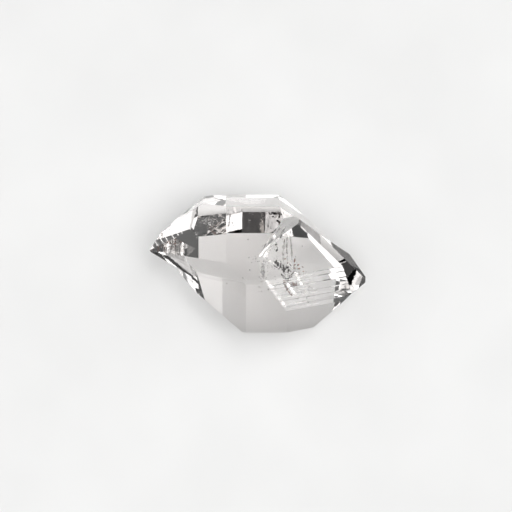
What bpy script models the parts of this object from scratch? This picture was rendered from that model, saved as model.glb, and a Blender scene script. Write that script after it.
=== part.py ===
"""Herkimer diamond: one clear, doubly terminated quartz crystal, lying on a prism face.

The crystal is cut from a plain block. Six prism faces run along its length and six
rhombohedral faces close each end. The right end is stepped by growth ledges, and a
raised wedge of the top face still stands over its big termination face.
+X runs along the crystal's length, +Y to its back and +Z up. The origin is the middle
of the footprint, on the plane that the crystal rests on.
"""

import math

import bpy
import bmesh
from mathutils import Vector

MM = 0.001

# Driving dimensions in millimetres. The long axis lies this far above the base face, and
# the crystal's centre this far along it, which puts the two tips equally far out.
AXIS_HEIGHT = 6.92
CENTRE_X = 0.037

# Angle between the long axis and the normal of a rhombohedral face of quartz, in degrees.
RHOMB_ANGLE = 51.79

# The prism faces: azimuth about the long axis, 0 on top and 90 at the back, and distance
# from the axis.
PRISM = {
    "top": (0.0, 6.92),
    "back_upper": (60.0, 7.30),
    "back_lower": (120.0, 7.21),
    "base": (180.0, 6.92),
    "front_lower": (240.0, 7.23),
    "front_upper": (300.0, 7.28),
}

# Where the termination face over each prism face starts, along X from the centre.
LEFT_SHOULDERS = {
    "top": -3.62,
    "back_upper": -6.27,
    "back_lower": -5.17,
    "base": -3.75,
    "front_lower": -1.86,
    "front_upper": -1.38,
}
RIGHT_SHOULDERS = {
    "back_upper": 2.39,
    "back_lower": 3.15,
    "base": 7.00,
    "front_lower": 6.36,
    "front_upper": 3.25,
}

# Faces that don't start on a prism face. Each has an azimuth about the long axis, an
# angle to +X and a distance from the crystal's centre.

# The cap that closes the right end where no ledge is cut, behind the big right face.
CAP = (17.9, 45.4, 7.36)

# The step between the big right face and the cap behind it.
CAP_WALL = (-45.1, 88.2, 0.28)

# The end of the raised wedge that the top face keeps over the big right face.
WEDGE_WALL = (-54.3, 37.3, 3.26)

# The narrow bevel between the top face and the big right face.
FRONT_BEVEL = (2.3, 74.6, 6.61)

# The two sides of the notch under the left tip.
NOTCH_SIDES = ((-109.5, 120.7, 5.17), (-78.9, 150.9, 7.76))

# Shoulder of the big right face on the top face.
BIG_FACE_SHOULDER = 0.62

# Growth ledges between the big right face and the one below it at the front. Their
# corners lie on the upper front face, along a line from LEDGE_START to LEDGE_END: each is
# an X from the centre and a distance down that face from its top edge. LEDGE_CORNERS are
# shares of that line, and LEDGE_FACE is the azimuth and angle to +X of every tread.
LEDGE_START = (0.63, 0.0)
LEDGE_END = (3.24, 4.63)
LEDGE_CORNERS = (0.0, 0.13, 0.30, 0.52, 0.68, 0.87, 1.0)
LEDGE_FACE = (-23.8, 47.9)

# Side of the block that the faces are cut from, and of each cutter.
BLOCK = 60.0

CLEAR_QUARTZ = (0.93, 0.93, 0.92, 1.0)


def direction(azimuth, angle):
    """Unit normal at this azimuth about the long axis and this angle to +X, in degrees."""
    around = math.radians(azimuth)
    along = math.radians(angle)
    return Vector((
        math.cos(along),
        math.sin(along) * math.sin(around),
        math.sin(along) * math.cos(around),
    ))


def centre():
    """The crystal's centre, from which the distances are measured."""
    return Vector((CENTRE_X, 0.0, AXIS_HEIGHT))


def prism_plane(face):
    """Point and normal of one of the six prism faces."""
    azimuth, distance = PRISM[face]
    normal = direction(azimuth, 90.0)
    return centre() + normal * distance, normal


def end_plane(face, shoulder, side):
    """Point and normal of a rhombohedral face that starts here on its prism face."""
    on_prism, _ = prism_plane(face)
    angle = RHOMB_ANGLE if side > 0 else 180.0 - RHOMB_ANGLE
    start = on_prism + Vector((shoulder, 0.0, 0.0))
    return start, direction(PRISM[face][0], angle)


def free_plane(azimuth, angle, distance):
    """Point and normal of a face given by its direction and distance from the centre."""
    normal = direction(azimuth, angle)
    return centre() + normal * distance, normal


def block():
    """A plain cube about the crystal, as a bmesh in metres."""
    mesh = bmesh.new()
    bmesh.ops.create_cube(mesh, size=BLOCK * MM)
    return mesh


def keep_inside(mesh, plane):
    """Cuts the closed mesh at a plane, drops what is outside and closes the cut."""
    point, normal = plane
    everything = mesh.verts[:] + mesh.edges[:] + mesh.faces[:]
    cut = bmesh.ops.bisect_plane(
        mesh,
        geom=everything,
        dist=1e-7,
        plane_co=point * MM,
        plane_no=normal,
        clear_outer=True,
    )
    rim = [item for item in cut["geom_cut"] if isinstance(item, bmesh.types.BMEdge)]
    if rim:
        bmesh.ops.contextual_create(mesh, geom=rim)


def solid_from_planes(name, planes, collection):
    """A convex solid: the block cut down to the inside of every plane."""
    mesh = block()
    for plane in planes:
        keep_inside(mesh, plane)
    bmesh.ops.recalc_face_normals(mesh, faces=mesh.faces[:])
    data = bpy.data.meshes.new(name)
    mesh.to_mesh(data)
    mesh.free()
    made = bpy.data.objects.new(name, data)
    collection.objects.link(made)
    return made


def reversed_plane(plane):
    """The same plane facing the other way, so that a cutter fills its outside."""
    point, normal = plane
    return point, -normal


def crystal_planes():
    """Every flat face of the whole crystal, before the ledges are cut."""
    planes = [prism_plane(face) for face in PRISM]
    planes += [end_plane(face, at, -1) for face, at in LEFT_SHOULDERS.items()]
    planes += [end_plane(face, at, 1) for face, at in RIGHT_SHOULDERS.items()]
    planes.append(free_plane(*CAP))
    return planes


def ledge_corner(share):
    """Point of the upper front face at this share of the line of ledge corners."""
    on_top, up = prism_plane("top")
    on_front, out = prism_plane("front_upper")
    height = on_top.z
    level = ((on_front - centre()).dot(out) - (height - AXIS_HEIGHT) * out.z) / out.y
    down = Vector((1.0, 0.0, 0.0)).cross(out)
    along = LEDGE_START[0] + share * (LEDGE_END[0] - LEDGE_START[0])
    depth = LEDGE_START[1] + share * (LEDGE_END[1] - LEDGE_START[1])
    return Vector((CENTRE_X + along, level, height)) + down * depth


def step_cutters():
    """The planes of each step: what is outside all the planes of one entry is cut away."""
    cap_wall = free_plane(*CAP_WALL)
    wedge_wall = free_plane(*WEDGE_WALL)
    steps = [
        [end_plane("top", BIG_FACE_SHOULDER, 1), wedge_wall, cap_wall],
        [free_plane(*FRONT_BEVEL), wedge_wall, cap_wall],
        [free_plane(*side) for side in NOTCH_SIDES],
    ]
    _, riser = end_plane("front_upper", 0.0, 1)
    for above, below in zip(LEDGE_CORNERS, LEDGE_CORNERS[1:]):
        floor = (ledge_corner(below), direction(*LEDGE_FACE))
        steps.append([floor, (ledge_corner(above), riser), cap_wall])
    return steps


def cut_steps(crystal, collection):
    """Takes each step out of the crystal with a wedge-shaped cutter."""
    for number, planes in enumerate(step_cutters()):
        sides = [reversed_plane(plane) for plane in planes]
        cutter = solid_from_planes(f"step_cutter_{number}", sides, collection)
        cutter.hide_render = True
        cutter.display_type = "WIRE"
        cut = crystal.modifiers.new(f"step_{number}", "BOOLEAN")
        cut.operation = "DIFFERENCE"
        cut.solver = "EXACT"
        cut.object = cutter


def clear_quartz():
    """Colourless, see-through quartz."""
    material = bpy.data.materials.new("clear_quartz")
    material.use_nodes = True
    shader = material.node_tree.nodes["Principled BSDF"]
    shader.inputs["Base Color"].default_value = CLEAR_QUARTZ
    shader.inputs["Roughness"].default_value = 0.0
    shader.inputs["Metallic"].default_value = 0.0
    shader.inputs["IOR"].default_value = 1.544
    shader.inputs["Transmission Weight"].default_value = 1.0
    return material


def clear_scene():
    """Removes whatever the scene holds."""
    for old in list(bpy.data.objects):
        bpy.data.objects.remove(old, do_unlink=True)


def main():
    clear_scene()
    parts = bpy.data.collections.new("herkimer_diamond")
    cutters = bpy.data.collections.new("cutters")
    for group in (parts, cutters):
        bpy.context.scene.collection.children.link(group)
    crystal = solid_from_planes("crystal", crystal_planes(), parts)
    crystal.data.materials.append(clear_quartz())
    cut_steps(crystal, cutters)


main()
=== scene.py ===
"""Looks of the herkimer diamond: clear quartz, what is sealed in it and a plain studio.

Laid out as an add-on: an operator for each kind of piece, and a panel in the 3D view's
sidebar that lists them. The settings are in metres. The places below are in millimetres,
in the frame of the solid: +X along the crystal, +Y to its back and +Z up.
"""

import math

import bmesh
import bpy
import numpy as np
from bpy.props import FloatProperty, FloatVectorProperty, IntProperty, PointerProperty
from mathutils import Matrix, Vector
from mathutils.bvhtree import BVHTree


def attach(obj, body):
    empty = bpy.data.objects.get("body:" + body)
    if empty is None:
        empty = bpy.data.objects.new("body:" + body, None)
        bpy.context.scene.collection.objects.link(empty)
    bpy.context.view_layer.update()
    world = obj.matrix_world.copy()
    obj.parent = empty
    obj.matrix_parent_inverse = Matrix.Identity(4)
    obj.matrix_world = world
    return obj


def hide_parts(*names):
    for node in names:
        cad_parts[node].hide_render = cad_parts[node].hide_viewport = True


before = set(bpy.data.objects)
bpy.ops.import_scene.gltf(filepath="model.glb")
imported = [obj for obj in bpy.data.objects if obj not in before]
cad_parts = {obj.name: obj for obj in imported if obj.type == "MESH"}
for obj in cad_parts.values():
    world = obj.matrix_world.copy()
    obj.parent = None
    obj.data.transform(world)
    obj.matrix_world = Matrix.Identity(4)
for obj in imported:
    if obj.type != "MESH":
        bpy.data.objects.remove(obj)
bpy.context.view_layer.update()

bl_info = {
    "name": "Herkimer diamond",
    "version": (1, 0, 0),
    "blender": (4, 5, 0),
    "location": "View3D > Sidebar > Crystal",
    "description": "Makes a clear doubly terminated quartz crystal, what is sealed in it and its studio",
    "category": "Add Mesh",
}

MM = 0.001

# The photograph's view: straight along +Y and this far above the horizon.
VIEW_ELEVATION = math.radians(70.5)

# The camera aims this far right of the crystal's middle and this far up the picture.
AIM_RIGHT = -0.193
AIM_UP = 0.8625

# The middle of the crystal.
MIDDLE = (0.0, 0.0, 6.92)

# How the solid's mesh is made ready for its rounded edges: vertices this near each other
# are one, and faces that turn by less than the first angle, in degrees, are one flat
# face. Edges that turn by more than the second angle are rounded.
WELD = 0.002
FLAT_ANGLE = 0.3
EDGE_ANGLE = 4.0

# Least distance from the surface, along the line to the crystal's middle: of the middle
# of a fleck, of the middle of a cavity, and of the points of lines and veils.
FLECK_DEPTH = 0.62
CAVITY_DEPTH = 0.3
SHEET_DEPTH = 0.15

# A plane under the big right face and parallel to it: its middle, and what one unit
# across it, up it and toward the viewer, as that face bends the view, each move by.
FACE_MIDDLE = (2.26, -1.71, 9.71)
FACE_UNITS = ((1.004, 0.0, -0.789), (0.0, 1.061, 0.0), (0.26, -0.216, 0.941))

# Places of the inclusions under the big right face, as (across, up) on that plane.
# Arcs have a start, a bend and an end.
CARBON_CORE = (
    (0.3, 0.0), (0.0, -0.2), (-0.6, 0.2), (-0.8, 0.4), (-0.3, 0.1), (0.5, 0.1),
    (0.1, -0.4), (0.6, -0.2),
)
CARBON_ARC = ((-0.2, -0.9), (0.6, -1.4), (1.2, -0.2))
BROWN_ARCS = (
    ((0.1, -1.3), (0.7, -1.6), (1.6, -1.2)),
    ((0.2, -1.5), (0.5, -2.2), (1.2, -2.7)),
)
BROWN_CORE = (
    (1.3, 1.1), (1.3, 0.6), (1.2, 0.2), (1.7, 0.7), (1.8, 0.3), (1.8, -0.1), (2.2, 0.6),
    (2.3, 0.1), (0.2, 1.0), (0.5, 0.6),
)
LOW_FLECKS = ((1.7, -2.5), (2.0, -2.7), (2.6, -2.9), (3.0, -2.4), (3.2, -2.7), (2.3, -2.0))
CRACK_ARCS = (
    ((0.5, 0.5), (0.3, 2.2), (0.5, 3.8)),
    ((0.9, 0.6), (1.1, 2.3), (0.7, 3.9)),
    ((0.0, 0.6), (-0.1, 2.0), (0.2, 3.3)),
    ((0.7, 0.6), (1.3, -0.1), (2.0, -0.8)),
    ((0.2, -1.0), (0.9, -2.0), (2.0, -2.6)),
    ((-2.1, 0.6), (-1.3, -0.1), (-0.3, 0.6)),
    ((1.5, -2.1), (2.3, -1.6), (3.3, -1.8)),
    ((2.0, -0.9), (2.8, -1.5), (4.0, -1.2)),
)

# The middle and the spread of the small flecks about the core, on the same plane.
CLOUD_MIDDLE = (0.05, -0.05)
CLOUD_SPREAD = (0.55, 0.32)

# How far toward the viewer each of those groups lies from the plane.
CORE_RISE = 1.3
CLOUD_RISES = (0.3, 1.5)
CARBON_ARC_RISE = 1.2
LOW_RISE = 0.2
BROWN_ARC_RISE = 0.9
BROWN_CORE_RISE = 0.8
CRACK_RISE = 1.0

# The arc of flecks under the end of the raised wedge, and the painted highlights beside it:
# bright metallic strips that stand in for light the wedge's faces throw back toward the
# viewer. Each is a start, a bend and an end, then a half width for the strips. All in
# millimetres.
WALL_FLECKS = ((1.8, -0.2, 11.4), (2.2, 1.4, 13.2), (3.1, 2.3, 12.0))
WALL_HIGHLIGHT_LINES = (
    ((0.15, -1.5, 13.3), (1.45, 0.55, 13.3), (2.75, 2.6, 13.2), 0.20),
    ((0.55, -1.4, 12.5), (1.85, 0.65, 12.45), (3.2, 2.7, 12.3), 0.18),
    ((0.5, -2.2, 13.4), (0.5, -3.2, 13.4), (0.6, -4.1, 13.4), 0.22),
    ((0.75, -4.1, 13.4), (2.0, -5.2, 11.6), (3.15, -6.3, 9.75), 0.24),
)

# Painted highlights under the growth ledges: fine bright metallic strips that stand in for
# light the ledges throw back toward the viewer. They start on a line LEDGE_FALL long from
# LEDGE_TOP and run along LEDGE_RUN. Each is a share of that line, a start and an end of
# the run and a half width.
LEDGE_TOP = (0.44, -4.31, 13.55)
LEDGE_FALL = (2.61, -2.31, -4.01)
LEDGE_RUN = (0.766, 0.348, -0.603)
LEDGE_HIGHLIGHT_LINES = (
    (0.08, 3.6, 7.2, 0.05), (0.20, 0.6, 6.6, 0.07), (0.34, 2.6, 7.0, 0.05),
    (0.44, 0.4, 5.2, 0.06), (0.60, 1.0, 6.6, 0.08), (0.70, 3.4, 6.4, 0.05),
    (0.82, 0.5, 5.6, 0.07), (0.95, 0.6, 5.4, 0.07),
)

# Flecks that lie alone.
LONE_FLECKS = (
    (1.2, -3.7, 10.6), (-1.1, 1.0, 11.4), (4.8, -3.8, 7.7), (5.5, -3.6, 7.2),
    (-3.9, -4.2, 11.4),
)

# Flecks along each arc, and how far those of the wall's arc stray from it.
CARBON_ARC_FLECKS = 15
WALL_ARC_FLECKS = 11
BROWN_ARC_FLECKS = 11
WALL_STRAY = 0.12

# Lengths of the flecks as shares of the settings' size, with the least and the most
# where they vary.
CORE_SHARE = 1.15
CLOUD_SHARES = (0.2, 0.6)
CARBON_ARC_SHARES = (0.4, 0.7)
LOW_SHARE = 0.5
WALL_SHARES = (0.5, 1.0)
LONE_SHARE = 0.45
BROWN_SHARES = (0.45, 1.0)

# A fleck's least and greatest width and half its thickness, as shares of its length.
FLECK_WIDTHS = (0.3, 0.8)
FLECK_HALF_THICKNESS = 0.22

# How far the surface of a fleck and of a cavity swells and dips, as a share of its size.
FLECK_LUMPS = 0.22
CAVITY_LUMPS = 0.05

# Points along a crack line and along the painted highlight lines, and how much the width of
# each kind ripples.
CRACK_POINTS = 25
LINE_POINTS = 33
CRACK_RIPPLE = 0.35
WALL_HIGHLIGHT_RIPPLE = 0.25
LEDGE_HIGHLIGHT_RIPPLE = 0.3

# The veils: each is a curved sheet with a middle, half its length, half its width and the
# height of its bulge.
VEILS = (
    ((1.3, -0.6, 10.6), (0.9, 0.5, -0.7), (0.1, 1.9, 0.1), 0.30),
    ((4.0, -2.4, 8.4), (1.6, -0.5, -1.1), (0.4, 1.0, 0.1), 0.30),
    ((-5.2, 3.2, 10.2), (1.6, 0.2, 0.5), (0.2, 1.3, -0.6), 0.30),
)
VEIL_POINTS = 25
VEIL_RIPPLE = 0.04

# Where the cavities gather: the middle of each cloud, and its spread in X, Y and Z.
CAVITY_CLOUDS = (
    (-0.4, -1.4, 12.2, 0.35, 0.35, 0.4),
    (0.4, -3.9, 10.9, 0.5, 0.4, 0.4),
    (3.2, -0.5, 9.6, 0.9, 1.4, 0.5),
    (-4.0, 3.6, 10.4, 1.2, 0.5, 0.5),
    (4.4, -3.0, 8.2, 1.2, 0.6, 0.4),
)

# Sizes of the cavities over the settings' radius, and of each half axis over that size.
CAVITY_SIZES = (0.5, 1.6)
CAVITY_AXES = (0.6, 1.4)

# Seeds of the random draws, one for each thing that is drawn. A kind of fleck uses the
# number after its own as well.
CLUSTER_SEED = 7
CARBON_SEED = 11
BROWN_SEED = 17
CAVITY_SEED = 23
CAVITY_TURN_SEED = 29
CAVITY_LUMP_SEED = 31

# Roughly the way toward the viewer inside the crystal. Each face bends it differently.
TOWARD_VIEWER = (0.1, -0.28, 0.94)

# The floor: half its side in metres, the points along a side, and how far it lies under
# the crystal, so that the two don't share a plane.
FLOOR_HALF = 0.9
FLOOR_POINTS = 9
FLOOR_DROP = 0.05

# The lights of the surround, all soft and plain: azimuth from +X toward +Y, elevation,
# width and height in degrees, then level.
LIGHTS = {
    "front softbox": (285, 65, 90, 30, 4),
    "overhead": (0, 82, 120, 16, 3),
    "right window": (0, 50, 90, 40, 1),
    "left window": (190, 45, 50, 50, 1),
    "back left wall": (135, 45, 40, 30, 1),
    "low right wall": (0, 5, 60, 14, 2),
    "low left wall": (150, 5, 70, 14, 2),
    "low front wall": (270, 5, 90, 14, 2),
}

# Width of each light's soft edge, in degrees.
LIGHT_EDGE = 10.0


# Settings

class CrystalSettings(bpy.types.PropertyGroup):
    """The clear quartz and its edges."""

    edge_width: FloatProperty(
        name="Edge width",
        description="How far a natural edge is rounded back from its faces",
        default=0.035 * MM,
        min=0.0,
        unit="LENGTH",
    )
    ior: FloatProperty(name="IOR", description="Index of refraction of quartz", default=1.544)
    tint: FloatVectorProperty(
        name="Tint",
        description="Hue of the faint body colour: the darker a channel, the more is absorbed",
        subtype="COLOR",
        size=3,
        default=(0.976, 0.953, 0.942),
    )
    absorption: FloatProperty(
        name="Absorption", description="Density of the faint body colour", default=55.0
    )


class FleckSettings(bpy.types.PropertyGroup):
    """Dark and brown flecks, most of them under the big right face."""

    count: IntProperty(name="Flecks", description="Small ones in the main cluster", default=30)
    size: FloatProperty(
        name="Size",
        description="Length of a fleck whose share is 1",
        default=0.50 * MM,
        unit="LENGTH",
    )
    color: FloatVectorProperty(
        name="Colour",
        description="Colour of the carbon",
        subtype="COLOR",
        size=3,
        default=(0.012, 0.009, 0.007),
    )
    brown: FloatVectorProperty(
        name="Brown",
        description="Colour of the stained flecks",
        subtype="COLOR",
        size=3,
        default=(0.13, 0.065, 0.045),
    )


class VeilSettings(bpy.types.PropertyGroup):
    """Healed cracks that show as pale veils and bright lines. The colour also paints the highlight
    strips beside the wedge and under the ledges.
    """

    line_width: FloatProperty(
        name="Line width",
        description="Half the width of the crack lines under the big right face",
        default=0.13 * MM,
        unit="LENGTH",
    )
    # This colour also paints the highlight strips beside the wedge and under the ledges.
    color: FloatVectorProperty(
        name="Colour",
        description="Colour of the veils and the bright lines",
        subtype="COLOR",
        size=3,
        default=(0.93, 0.91, 0.89),
    )


class BubbleSettings(bpy.types.PropertyGroup):
    """Tiny cavities that show as bright points."""

    count: IntProperty(name="Cavities", description="How many there are", default=46)
    radius: FloatProperty(
        name="Radius",
        description="Typical radius of a cavity",
        default=0.045 * MM,
        unit="LENGTH",
    )


class StudioSettings(bpy.types.PropertyGroup):
    """The floor, the light and the camera."""

    floor_color: FloatVectorProperty(
        name="Floor colour",
        description="Colour of the plain floor",
        subtype="COLOR",
        size=3,
        default=(0.84, 0.84, 0.835),
    )
    sky_strength: FloatProperty(
        name="Light", description="Strength of the soft surround", default=1.25
    )
    sky_base: FloatProperty(
        name="Dimmest light", description="Level of the surround between its lights", default=0.05
    )
    distance: FloatProperty(
        name="Camera distance",
        description="From the middle of the crystal to the camera",
        default=0.4,
        unit="LENGTH",
    )
    field: FloatProperty(
        name="Field",
        description="Width that the camera takes in at the crystal",
        default=58.9 * MM,
        unit="LENGTH",
    )


# Helpers for materials

def shader_of(material):
    """The Principled shader that a new material starts with."""
    material.use_nodes = True
    return material.node_tree.nodes["Principled BSDF"]


def new_group(name, outputs):
    """An empty shader group with these outputs, as (name, socket type)."""
    group = bpy.data.node_groups.new(name, "ShaderNodeTree")
    for label, kind in outputs:
        group.interface.new_socket(label, in_out="OUTPUT", socket_type=kind)
    return group


def growth_relief():
    """Shader group: the faint relief of growth on a crystal face, as a normal.

    Object coordinates are stretched along the long axis, so the noise draws fine
    lines across it, over a slow swell that bends what is seen through the face.
    """
    group = new_group("growth_relief", [("Normal", "NodeSocketVector")])
    nodes, links = group.nodes, group.links
    place = nodes.new("ShaderNodeTexCoord")
    lines_at = nodes.new("ShaderNodeMapping")
    lines_at.inputs["Scale"].default_value = (2600.0, 260.0, 260.0)
    lines = nodes.new("ShaderNodeTexNoise")
    lines.inputs["Scale"].default_value = 1.0
    lines.inputs["Detail"].default_value = 2.0
    swell = nodes.new("ShaderNodeTexNoise")
    swell.inputs["Scale"].default_value = 420.0
    swell.inputs["Detail"].default_value = 1.5
    fine = nodes.new("ShaderNodeBump")
    fine.inputs["Strength"].default_value = 0.06
    fine.inputs["Distance"].default_value = 0.02 * MM
    broad = nodes.new("ShaderNodeBump")
    broad.inputs["Strength"].default_value = 0.06
    broad.inputs["Distance"].default_value = 0.08 * MM
    out = nodes.new("NodeGroupOutput")
    links.new(place.outputs["Object"], lines_at.inputs["Vector"])
    links.new(lines_at.outputs["Vector"], lines.inputs["Vector"])
    links.new(place.outputs["Object"], swell.inputs["Vector"])
    links.new(lines.outputs["Fac"], fine.inputs["Height"])
    links.new(swell.outputs["Fac"], broad.inputs["Height"])
    links.new(fine.outputs["Normal"], broad.inputs["Normal"])
    links.new(broad.outputs["Normal"], out.inputs["Normal"])
    return group


def veil_mask():
    """Shader group: where a healed crack shows, as a mask from 0 to 1.

    Two sizes of noise multiply: broad patches, and the fine specks of the trapped
    fluid that draws the crack.
    """
    group = new_group("veil_mask", [("Mask", "NodeSocketFloat")])
    nodes, links = group.nodes, group.links
    place = nodes.new("ShaderNodeTexCoord")
    patch = nodes.new("ShaderNodeTexNoise")
    patch.inputs["Scale"].default_value = 900.0
    patch.inputs["Detail"].default_value = 3.0
    speck = nodes.new("ShaderNodeTexNoise")
    speck.inputs["Scale"].default_value = 5200.0
    speck.inputs["Detail"].default_value = 2.0
    out = nodes.new("NodeGroupOutput")
    ramps = []
    for noise, low, high in ((patch, 0.50, 0.62), (speck, 0.50, 0.66)):
        links.new(place.outputs["Object"], noise.inputs["Vector"])
        ramp = nodes.new("ShaderNodeMapRange")
        ramp.inputs["From Min"].default_value = low
        ramp.inputs["From Max"].default_value = high
        links.new(noise.outputs["Fac"], ramp.inputs["Value"])
        ramps.append(ramp)
    both = nodes.new("ShaderNodeMath")
    both.operation = "MULTIPLY"
    links.new(ramps[0].outputs["Result"], both.inputs[0])
    links.new(ramps[1].outputs["Result"], both.inputs[1])
    links.new(both.outputs["Value"], out.inputs["Mask"])
    return group


def use_group(material, group):
    """Puts a shader group in a material and returns its node."""
    node = material.node_tree.nodes.new("ShaderNodeGroup")
    node.node_tree = group
    return node


def quartz_material(settings):
    """Clear quartz: plain transmission, a faint absorption and the relief of growth."""
    material = bpy.data.materials.new("clear_quartz")
    shader = shader_of(material)
    shader.inputs["Base Color"].default_value = (1.0, 1.0, 1.0, 1.0)
    shader.inputs["Roughness"].default_value = 0.0
    shader.inputs["IOR"].default_value = settings.ior
    shader.inputs["Transmission Weight"].default_value = 1.0
    tree = material.node_tree
    relief = use_group(material, growth_relief())
    tree.links.new(relief.outputs["Normal"], shader.inputs["Normal"])
    body = tree.nodes.new("ShaderNodeVolumeAbsorption")
    body.inputs["Color"].default_value = (*settings.tint, 1.0)
    body.inputs["Density"].default_value = settings.absorption
    out = tree.nodes["Material Output"]
    tree.links.new(body.outputs["Volume"], out.inputs["Volume"])
    return material


def mottle(material, scale, first, second):
    """Colours a material by noise of this scale, from a first to a second colour. Each is
    the level of noise where it starts, then the colour."""
    tree = material.node_tree
    place = tree.nodes.new("ShaderNodeTexCoord")
    noise = tree.nodes.new("ShaderNodeTexNoise")
    noise.inputs["Scale"].default_value = scale
    ramp = tree.nodes.new("ShaderNodeValToRGB")
    for element, (level, color) in zip(ramp.color_ramp.elements, (first, second)):
        element.position = level
        element.color = (*color, 1.0)
    tree.links.new(place.outputs["Object"], noise.inputs["Vector"])
    tree.links.new(noise.outputs["Fac"], ramp.inputs["Fac"])
    tree.links.new(ramp.outputs["Color"], shader_of(material).inputs["Base Color"])


def fleck_material(name, color):
    """A fleck: this colour, with patches that are three times as light."""
    material = bpy.data.materials.new(name)
    shader = shader_of(material)
    mottle(material, 2400.0, (0.45, color), (0.70, [3 * share for share in color]))
    shader.inputs["Roughness"].default_value = 0.55
    return material


def crack_and_highlight_material(settings):
    """Bright metallic lines: where a crack turns edge on and throws the light back, and the painted
    highlight strips beside the wedge and under the ledges.
    """
    material = bpy.data.materials.new("crack")
    shader = shader_of(material)
    shader.inputs["Base Color"].default_value = (*settings.color, 1.0)
    shader.inputs["Metallic"].default_value = 0.9
    shader.inputs["Roughness"].default_value = 0.22
    tree = material.node_tree
    place = tree.nodes.new("ShaderNodeTexCoord")
    noise = tree.nodes.new("ShaderNodeTexNoise")
    noise.inputs["Scale"].default_value = 2600.0
    ramp = tree.nodes.new("ShaderNodeMapRange")
    ramp.inputs["From Min"].default_value = 0.28
    ramp.inputs["From Max"].default_value = 0.50
    tree.links.new(place.outputs["Object"], noise.inputs["Vector"])
    tree.links.new(noise.outputs["Fac"], ramp.inputs["Value"])
    tree.links.new(ramp.outputs["Result"], shader.inputs["Alpha"])
    return material


def veil_material(settings):
    """A healed crack: pale and glossy where fluid is trapped, clear between."""
    material = bpy.data.materials.new("veil")
    shader = shader_of(material)
    shader.inputs["Base Color"].default_value = (*settings.color, 1.0)
    shader.inputs["Roughness"].default_value = 0.25
    mask = use_group(material, veil_mask())
    material.node_tree.links.new(mask.outputs["Mask"], shader.inputs["Alpha"])
    return material


def bubble_material():
    """The bright wall of a tiny cavity."""
    material = bpy.data.materials.new("cavity")
    shader = shader_of(material)
    mottle(material, 9000.0, (0.40, (0.35, 0.34, 0.33)), (0.60, (0.95, 0.95, 0.95)))
    shader.inputs["Roughness"].default_value = 0.08
    shader.inputs["Metallic"].default_value = 0.6
    return material


def value_node(tree, operation, *values):
    """Adds a Math node and returns its output. Each value is a number or a socket."""
    node = tree.nodes.new("ShaderNodeMath")
    node.operation = operation
    for socket, value in zip(node.inputs, values):
        if isinstance(value, (int, float)):
            socket.default_value = value
        else:
            tree.links.new(value, socket)
    return node.outputs["Value"]


def soft_band(tree, angle, width, level):
    """The level where an angle in radians is inside a band this many degrees wide about
    zero, falling smoothly to 0 over the band's soft edge."""
    distance = value_node(tree, "ABSOLUTE", angle)
    ramp = tree.nodes.new("ShaderNodeMapRange")
    ramp.interpolation_type = "SMOOTHSTEP"
    ramp.inputs["From Min"].default_value = math.radians((width + LIGHT_EDGE) / 2)
    ramp.inputs["From Max"].default_value = math.radians((width - LIGHT_EDGE) / 2)
    ramp.inputs["To Min"].default_value = 0.0
    ramp.inputs["To Max"].default_value = level
    tree.links.new(distance, ramp.inputs["Value"])
    return ramp.outputs["Result"]


# Helpers for meshes

def mesh_object(name, points, faces, material):
    """A smooth mesh object at the origin, from an array of points and a list of faces."""
    data = bpy.data.meshes.new(name)
    data.from_pydata(points.tolist(), [], faces)
    data.polygons.foreach_set("use_smooth", np.ones(len(faces), bool))
    data.update()
    made = bpy.data.objects.new(name, data)
    bpy.context.scene.collection.objects.link(made)
    made.data.materials.append(material)
    return made


def grid_faces(rows, columns):
    """Quads of a grid of rows by columns points, as an array of indices."""
    corner = np.arange((rows - 1) * columns).reshape(rows - 1, columns)[:, :-1].ravel()
    return np.stack([corner, corner + 1, corner + columns + 1, corner + columns], 1)


def seal(piece, body="root"):
    """Fixes a piece in the crystal by parenting it to the body's empty."""
    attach(piece, body)


def turned(seed, count):
    """Random turns, as an array of rotation matrices from unit quaternions."""
    draw = np.random.default_rng(seed).normal(size=(count, 4))
    w, x, y, z = (draw / np.linalg.norm(draw, axis=1, keepdims=True)).T
    return np.stack([
        np.stack([1 - 2 * (y * y + z * z), 2 * (x * y - w * z), 2 * (x * z + w * y)], 1),
        np.stack([2 * (x * y + w * z), 1 - 2 * (x * x + z * z), 2 * (y * z - w * x)], 1),
        np.stack([2 * (x * z - w * y), 2 * (y * z + w * x), 1 - 2 * (x * x + y * y)], 1),
    ], 1)


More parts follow.
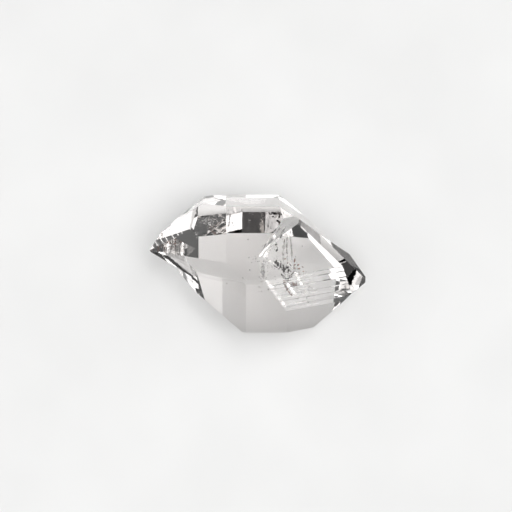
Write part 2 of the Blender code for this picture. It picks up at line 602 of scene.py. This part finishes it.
def scattered(centres, sizes, turns, lump, seed):
    """Points and faces of one small closed lump at each centre, for one joined mesh.

    A lump is a sphere with the angle u from its pole and v around it. Its radius is
    1 + lump sin u (sin(3v + a) + sin(5v + b) + sin(2v + c)), with random a, b and c. It is
    scaled by its three sizes, turned and moved. The poles are single points.
    """
    rings, around = 5, 8
    u = np.pi * (np.arange(rings) + 1) / (rings + 1)
    v = 2 * np.pi * np.arange(around) / around
    uu, vv = np.meshgrid(u, v, indexing="ij")
    unit = np.stack([np.sin(uu) * np.cos(vv), np.sin(uu) * np.sin(vv), np.cos(uu)], -1)
    unit = np.concatenate([[[0, 0, 1.0]], unit.reshape(-1, 3), [[0, 0, -1.0]]])
    phase = np.random.default_rng(seed).uniform(0, 2 * np.pi, (len(centres), 3))
    at = np.concatenate([[0.0], vv.ravel(), [0.0]])
    up = np.concatenate([[0.0], uu.ravel(), [np.pi]])
    wave = (
        np.sin(3 * at + phase[:, :1])
        + np.sin(5 * at + phase[:, 1:2])
        + np.sin(2 * at + phase[:, 2:])
    ) * np.sin(up)
    local = unit * (1 + lump * wave)[:, :, None] * sizes[:, None, :]
    points = np.einsum("nij,nkj->nki", turns, local) + centres[:, None, :]
    ring = 1 + np.arange(rings)[:, None] * around + np.arange(around)
    nxt = np.roll(ring, -1, axis=1)
    sides = np.stack([ring[:-1], ring[1:], nxt[1:], nxt[:-1]], -1).reshape(-1, 4)
    last = 1 + rings * around
    top = np.stack([np.zeros(around, int), ring[0], nxt[0]], 1)
    low = np.stack([np.full(around, last), nxt[-1], ring[-1]], 1)
    step = np.arange(len(centres))[:, None, None] * (last + 1)
    quads = (sides[None] + step).reshape(-1, 4)
    tris = (np.concatenate([top, low])[None] + step).reshape(-1, 3)
    return points.reshape(-1, 3), quads.tolist() + tris.tolist()


def under_face(places, rise):
    """Points in millimetres from rows of (across, up) and a rise toward the viewer."""
    rows = np.column_stack([places, np.broadcast_to(rise, len(places))])
    return np.array(FACE_MIDDLE) + rows @ np.array(FACE_UNITS)


def kept_inside(points, margin):
    """Points in millimetres, drawn toward the crystal's middle where they come nearer to
    its surface than the margin. Every line from the middle leaves the solid only once."""
    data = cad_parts["crystal"].data
    corners = [vertex.co / MM for vertex in data.vertices]
    tree = BVHTree.FromPolygons(corners, [tuple(face.vertices) for face in data.polygons])
    middle = Vector(MIDDLE)
    kept = []
    for point in points:
        away = Vector(point) - middle
        reach = tree.ray_cast(middle, away.normalized())[3]
        kept.append(middle + away * min(1.0, (reach - margin) / away.length))
    return np.array(kept)


def arc(corners, count):
    """Points of (1-s)^2 start + 2 s (1-s) bend + s^2 end, for s from 0 to 1."""
    s = np.linspace(0.0, 1.0, count)[:, None]
    start, bend, end = np.array(corners, float)
    return (1 - s) ** 2 * start + 2 * s * (1 - s) * bend + s**2 * end


def ribbon(line, half_width, wave):
    """A strip along a line of points that faces the viewer. With s from 0 to 1 along it,
    its half width falls almost to 0 at both ends as the square root of sin(pi s), and
    ripples by wave times sin(23 s)."""
    s = np.linspace(0.0, 1.0, len(line))
    side = np.cross(np.gradient(line, axis=0), TOWARD_VIEWER)
    side = side / np.linalg.norm(side, axis=1, keepdims=True)
    width = half_width * np.sqrt(np.sin(np.pi * s) + 1e-3) * (1 + wave * np.sin(23 * s))
    shift = side * width[:, None]
    sides = np.stack([line - shift, line + shift], 1)
    return kept_inside(sides.reshape(-1, 3), SHEET_DEPTH)


def joined_ribbons(name, strips, material):
    """One mesh of several ribbons."""
    points = np.concatenate(strips)
    faces = []
    first = 0
    for strip in strips:
        faces.append(grid_faces(len(strip) // 2, 2) + first)
        first += len(strip)
    return mesh_object(name, points * MM, np.concatenate(faces).tolist(), material)


# Operators

class HERKIMER_OT_crystal(bpy.types.Operator):
    """Makes the clear crystal from the solid, with its edges slightly rounded"""

    bl_idname = "herkimer.crystal"
    bl_label = "Crystal"

    def execute(self, context):
        settings = context.scene.herkimer_crystal
        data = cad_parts["crystal"].data.copy()
        data.name = "quartz"
        shape = bmesh.new()
        shape.from_mesh(data)
        bmesh.ops.remove_doubles(shape, verts=shape.verts, dist=WELD * MM)
        bmesh.ops.dissolve_limit(
            shape, angle_limit=math.radians(FLAT_ANGLE), verts=shape.verts, edges=shape.edges
        )
        shape.to_mesh(data)
        shape.free()
        data.materials.clear()
        data.materials.append(quartz_material(settings))
        piece = bpy.data.objects.new("quartz", data)
        context.scene.collection.objects.link(piece)
        edges = piece.modifiers.new("edges", "BEVEL")
        edges.width = settings.edge_width
        edges.segments = 2
        edges.limit_method = "ANGLE"
        edges.angle_limit = math.radians(EDGE_ANGLE)
        edges.use_clamp_overlap = True
        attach(piece, "root")
        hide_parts("crystal")
        return {"FINISHED"}


class HERKIMER_OT_flecks(bpy.types.Operator):
    """Makes the dark and the brown flecks"""

    bl_idname = "herkimer.flecks"
    bl_label = "Flecks"

    def execute(self, context):
        settings = context.scene.herkimer_flecks
        draw = np.random.default_rng(CLUSTER_SEED)
        cloud = draw.normal(size=(settings.count, 2)) * CLOUD_SPREAD + CLOUD_MIDDLE
        rises = draw.uniform(*CLOUD_RISES, settings.count)
        stray = draw.normal(size=(WALL_ARC_FLECKS, 3)) * WALL_STRAY
        dark = np.concatenate([
            under_face(CARBON_CORE, CORE_RISE),
            under_face(cloud, rises),
            under_face(arc(CARBON_ARC, CARBON_ARC_FLECKS), CARBON_ARC_RISE),
            under_face(LOW_FLECKS, LOW_RISE),
            arc(WALL_FLECKS, WALL_ARC_FLECKS) + stray,
            LONE_FLECKS,
        ])
        shares = np.concatenate([
            np.full(len(CARBON_CORE), CORE_SHARE),
            draw.uniform(*CLOUD_SHARES, settings.count),
            draw.uniform(*CARBON_ARC_SHARES, CARBON_ARC_FLECKS),
            np.full(len(LOW_FLECKS), LOW_SHARE),
            draw.uniform(*WALL_SHARES, WALL_ARC_FLECKS),
            np.full(len(LONE_FLECKS), LONE_SHARE),
        ])
        self.scatter("carbon_flecks", dark, shares, CARBON_SEED, settings, settings.color)
        arcs = [arc(corners, BROWN_ARC_FLECKS) for corners in BROWN_ARCS]
        brown = np.concatenate([
            under_face(BROWN_CORE, BROWN_CORE_RISE),
            under_face(np.concatenate(arcs), BROWN_ARC_RISE),
        ])
        shares = draw.uniform(*BROWN_SHARES, len(brown))
        self.scatter("brown_flecks", brown, shares, BROWN_SEED, settings, settings.brown)
        return {"FINISHED"}

    @staticmethod
    def scatter(name, centres, shares, seed, settings, color):
        """One mesh of flat flecks. Each share is a fleck's length over the settings' size."""
        number = len(centres)
        size = settings.size * shares[:, None]
        flat = np.random.default_rng(seed).uniform(*FLECK_WIDTHS, (number, 1))
        sizes = np.concatenate([size * 0.5, size * 0.5 * flat, size * FLECK_HALF_THICKNESS], 1)
        places = kept_inside(centres, FLECK_DEPTH) * MM
        points, faces = scattered(places, sizes, turned(seed, number), FLECK_LUMPS, seed + 1)
        seal(mesh_object(name, points, faces, fleck_material(name, color)))


class HERKIMER_OT_veils(bpy.types.Operator):
    """Makes the healed cracks, bright lines and thin curved sheets of specks, and the painted highlight
    strips beside the wedge and under the ledges
    """

    bl_idname = "herkimer.veils"
    bl_label = "Veils"

    def execute(self, context):
        settings = context.scene.herkimer_veils
        strips = [
            ribbon(
                under_face(arc(corners, CRACK_POINTS), CRACK_RISE),
                settings.line_width / MM,
                CRACK_RIPPLE,
            )
            for corners in CRACK_ARCS
        ]
        # Painted highlights: bright strips beside the raised wedge that stand in for light its faces
        # throw back.
        strips += [
            ribbon(arc(corners, LINE_POINTS), width, WALL_HIGHLIGHT_RIPPLE)
            for *corners, width in WALL_HIGHLIGHT_LINES
        ]
        # Painted highlights: fine bright strips under the growth ledges.
        for share, start, end, width in LEDGE_HIGHLIGHT_LINES:
            first = np.array(LEDGE_TOP) + share * np.array(LEDGE_FALL)
            steps = np.linspace(start, end, LINE_POINTS)[:, None]
            strips.append(ribbon(first + steps * np.array(LEDGE_RUN), width, LEDGE_HIGHLIGHT_RIPPLE))
        # One mesh of the crack lines and the painted highlight strips.
        seal(joined_ribbons("crack_and_highlight_lines", strips, crack_and_highlight_material(settings)))
        material = veil_material(settings)
        faces = grid_faces(VEIL_POINTS, VEIL_POINTS).tolist()
        for number, (middle, along, across, bulge) in enumerate(VEILS):
            points = self.sheet(np.array(middle), np.array(along), np.array(across), bulge)
            seal(mesh_object(f"veil_{number + 1}", points * MM, faces, material))
        return {"FINISHED"}

    @staticmethod
    def sheet(middle, along, across, bulge):
        """Grid of s and t from -1 to 1: middle + s along + t across, lifted off its plane
        by bulge times (1 - s squared)(1 - t squared) and a ripple of sin(5s + 3t)."""
        side = np.linspace(-1, 1, VEIL_POINTS)
        s, t = np.meshgrid(side, side, indexing="ij")
        off = np.cross(along, across)
        off = off / np.linalg.norm(off)
        lift = bulge * (1 - s**2) * (1 - t**2) + VEIL_RIPPLE * np.sin(5 * s + 3 * t)
        flat = middle + s[..., None] * along + t[..., None] * across
        return kept_inside((flat + lift[..., None] * off).reshape(-1, 3), SHEET_DEPTH)


class HERKIMER_OT_bubbles(bpy.types.Operator):
    """Scatters the tiny bright cavities"""

    bl_idname = "herkimer.bubbles"
    bl_label = "Cavities"

    def execute(self, context):
        settings = context.scene.herkimer_bubbles
        draw = np.random.default_rng(CAVITY_SEED)
        count = settings.count
        clouds = np.array(CAVITY_CLOUDS)[draw.integers(0, len(CAVITY_CLOUDS), count)]
        centres = clouds[:, :3] + draw.normal(size=(count, 3)) * clouds[:, 3:]
        size = settings.radius * draw.uniform(*CAVITY_SIZES, (count, 1))
        sizes = size * draw.uniform(*CAVITY_AXES, (count, 3))
        places = kept_inside(centres, CAVITY_DEPTH) * MM
        turns = turned(CAVITY_TURN_SEED, count)
        points, faces = scattered(places, sizes, turns, CAVITY_LUMPS, CAVITY_LUMP_SEED)
        seal(mesh_object("cavities", points, faces, bubble_material()))
        return {"FINISHED"}


class HERKIMER_OT_studio(bpy.types.Operator):
    """Makes the floor, the soft light and the camera"""

    bl_idname = "herkimer.studio"
    bl_label = "Studio"

    def execute(self, context):
        settings = context.scene.herkimer_studio
        self.floor(settings)
        self.surround(context, settings)
        self.camera(context, settings)
        context.scene.view_settings.view_transform = "Standard"
        return {"FINISHED"}

    @staticmethod
    def floor(settings):
        """A flat square under the crystal, with patches that are slightly darker."""
        side = np.linspace(-FLOOR_HALF, FLOOR_HALF, FLOOR_POINTS)
        s, t = np.meshgrid(side, side, indexing="ij")
        points = np.stack([s.ravel(), t.ravel(), np.full(s.size, -FLOOR_DROP * MM)], 1)
        material = bpy.data.materials.new("floor_paper")
        shader = shader_of(material)
        darker = [share * 0.96 for share in settings.floor_color]
        mottle(material, 60.0, (0.35, darker), (0.65, settings.floor_color))
        shader.inputs["Roughness"].default_value = 0.9
        shader.inputs["Specular IOR Level"].default_value = 0.0
        faces = grid_faces(FLOOR_POINTS, FLOOR_POINTS)[:, ::-1].tolist()
        made = mesh_object("floor", points, faces, material)

    @staticmethod
    def surround(context, settings):
        """A dim surround, with the soft lights of LIGHTS added to it."""
        world = bpy.data.worlds.new("soft_surround")
        context.scene.world = world
        world.use_nodes = True
        tree = world.node_tree
        background = tree.nodes["Background"]
        background.inputs["Strength"].default_value = settings.sky_strength
        place = tree.nodes.new("ShaderNodeTexCoord")
        toward = tree.nodes.new("ShaderNodeSeparateXYZ")
        tree.links.new(place.outputs["Generated"], toward.inputs["Vector"])
        azimuth = value_node(tree, "ARCTAN2", toward.outputs["Y"], toward.outputs["X"])
        elevation = value_node(tree, "ARCSINE", toward.outputs["Z"])
        total = settings.sky_base
        for at, up, width, height, level in LIGHTS.values():
            aside = value_node(tree, "SUBTRACT", azimuth, math.radians(at))
            aside = value_node(tree, "WRAP", aside, math.pi, -math.pi)
            above = value_node(tree, "SUBTRACT", elevation, math.radians(up))
            across = soft_band(tree, aside, width, level)
            along = soft_band(tree, above, height, 1.0)
            total = value_node(tree, "MULTIPLY_ADD", across, along, total)
        tree.links.new(total, background.inputs["Color"])

    @staticmethod
    def camera(context, settings):
        """Looks along +Y and down on the crystal, as the photograph does."""
        up = Vector((0.0, math.sin(VIEW_ELEVATION), math.cos(VIEW_ELEVATION)))
        back = Vector((0.0, -math.cos(VIEW_ELEVATION), math.sin(VIEW_ELEVATION)))
        aim = Vector((AIM_RIGHT * MM, 0.0, MIDDLE[2] * MM)) + up * (AIM_UP * MM)
        lens = bpy.data.cameras.new("camera")
        lens.sensor_width = 36.0
        lens.lens = lens.sensor_width * settings.distance / settings.field
        lens.clip_start = 0.01
        lens.clip_end = 10.0
        made = bpy.data.objects.new("camera", lens)
        made.location = aim + back * settings.distance
        made.rotation_euler = (math.pi / 2 - VIEW_ELEVATION, 0.0, 0.0)
        context.scene.collection.objects.link(made)
        context.scene.camera = made


class HERKIMER_PT_panel(bpy.types.Panel):
    """Lists the operators in the order they are run."""

    bl_idname = "HERKIMER_PT_panel"
    bl_label = "Herkimer diamond"
    bl_space_type = "VIEW_3D"
    bl_region_type = "UI"
    bl_category = "Crystal"

    def draw(self, context):
        for step in OPERATORS:
            self.layout.operator(step.bl_idname)


OPERATORS = (
    HERKIMER_OT_crystal,
    HERKIMER_OT_flecks,
    HERKIMER_OT_veils,
    HERKIMER_OT_bubbles,
    HERKIMER_OT_studio,
)

SETTINGS = {
    "herkimer_crystal": CrystalSettings,
    "herkimer_flecks": FleckSettings,
    "herkimer_veils": VeilSettings,
    "herkimer_bubbles": BubbleSettings,
    "herkimer_studio": StudioSettings,
}


def register():
    for item in (*SETTINGS.values(), *OPERATORS, HERKIMER_PT_panel):
        bpy.utils.register_class(item)
    for name, item in SETTINGS.items():
        setattr(bpy.types.Scene, name, PointerProperty(type=item))


def unregister():
    for name in SETTINGS:
        delattr(bpy.types.Scene, name)
    for item in (HERKIMER_PT_panel, *reversed(OPERATORS), *SETTINGS.values()):
        bpy.utils.unregister_class(item)


def main():
    register()
    bpy.ops.herkimer.crystal()
    bpy.ops.herkimer.flecks()
    bpy.ops.herkimer.veils()
    bpy.ops.herkimer.bubbles()
    bpy.ops.herkimer.studio()


if __name__ == "__main__":
    main()
